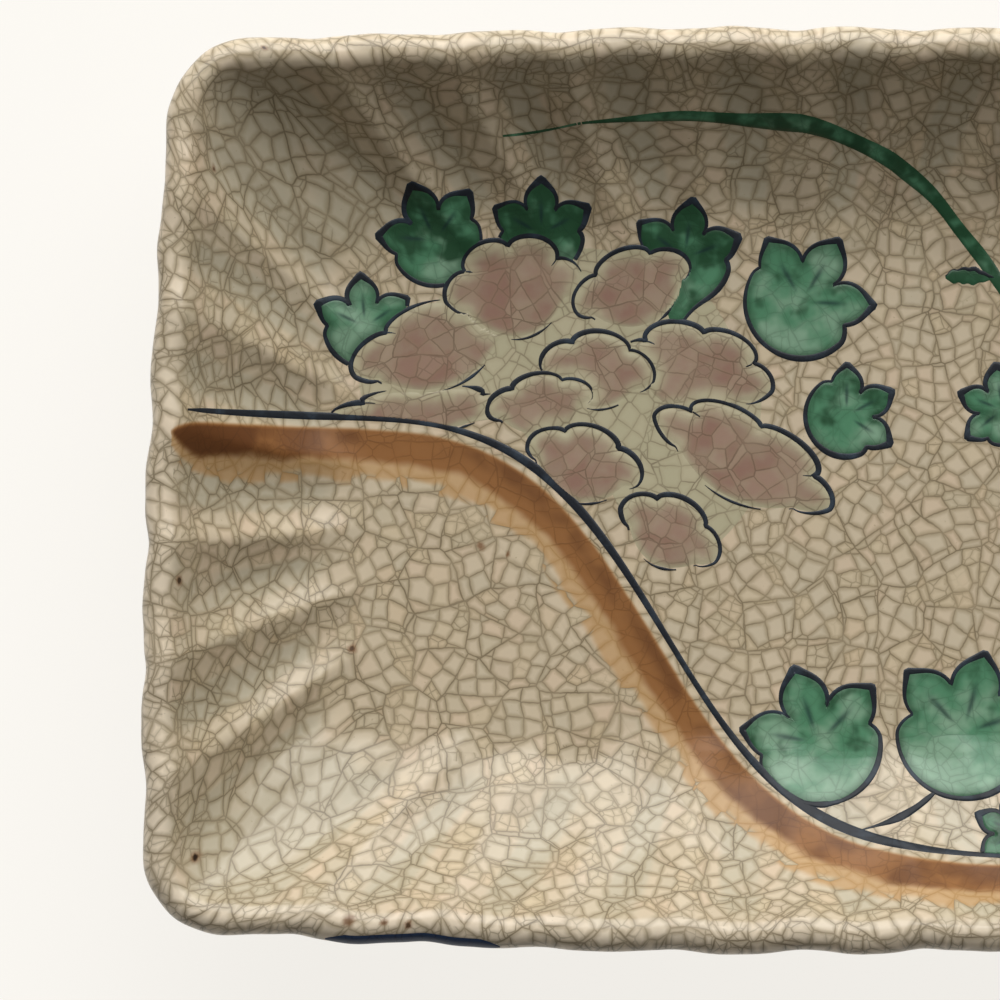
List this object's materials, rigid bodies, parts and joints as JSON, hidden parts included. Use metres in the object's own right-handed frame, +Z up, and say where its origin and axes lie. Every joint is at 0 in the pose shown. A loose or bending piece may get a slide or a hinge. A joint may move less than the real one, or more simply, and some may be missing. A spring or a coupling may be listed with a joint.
{
  "type": "rectangular fluted dish",
  "caption": "Hand-pressed rectangular stoneware dish with a sloping fluted wall, rolled lip, low foot ring, crackle glaze and raised enamel flowers and leaves.",
  "frame": {"origin": "on the resting plane, under the middle of the dish's overall length and depth", "axes": "+Z up, out of the dish's mouth; +X along the dish's length; +Y towards its far long side"},
  "size_m": [0.2198, 0.1558, 0.032],
  "materials": {
    "crackle_glaze": "glossy cream-grey glaze with a dense brown-grey crackle",
    "bare_clay": "matt unglazed stoneware",
    "green_enamel": "glossy translucent green enamel",
    "petal_enamel": "glossy mauve-pink enamel with pale green edges",
    "ridge_blue": "glossy blue-black brush line",
    "iron_brown": "glossy iron-brown brushed band"
  },
  "bodies": {
    "root": {"dish_body": "crackle_glaze", "foot_ring": "bare_clay", "ridge_line": "ridge_blue", "ridge_band": "iron_brown", "rim_line": "ridge_blue", "petal_low_front": "petal_enamel", "petal_heart": "petal_enamel", "petal_crown": "petal_enamel", "petal_low_right": "petal_enamel", "petal_right": "petal_enamel", "petal_back_right": "petal_enamel", "petal_back_left": "petal_enamel", "petal_left": "petal_enamel", "petal_tail": "petal_enamel", "petal_low_left": "petal_enamel", "bloom_front": "petal_enamel", "bloom_heart": "petal_enamel", "bloom_left": "petal_enamel", "bloom_right": "petal_enamel", "leaf_back_left": "green_enamel", "leaf_back_middle": "green_enamel", "leaf_back_right": "green_enamel", "leaf_right_large": "green_enamel", "leaf_right_small": "green_enamel", "leaf_left": "green_enamel", "bloom_leaf_left": "green_enamel", "bloom_leaf_far": "green_enamel", "bloom_leaf_right": "green_enamel", "near_leaf_left": "green_enamel", "near_leaf_middle": "green_enamel", "near_leaf_low": "green_enamel", "near_leaf_right": "green_enamel", "blade_leaf": "green_enamel", "grass_blade": "green_enamel", "grass_blade_right": "green_enamel"}
  },
  "joints": []
}
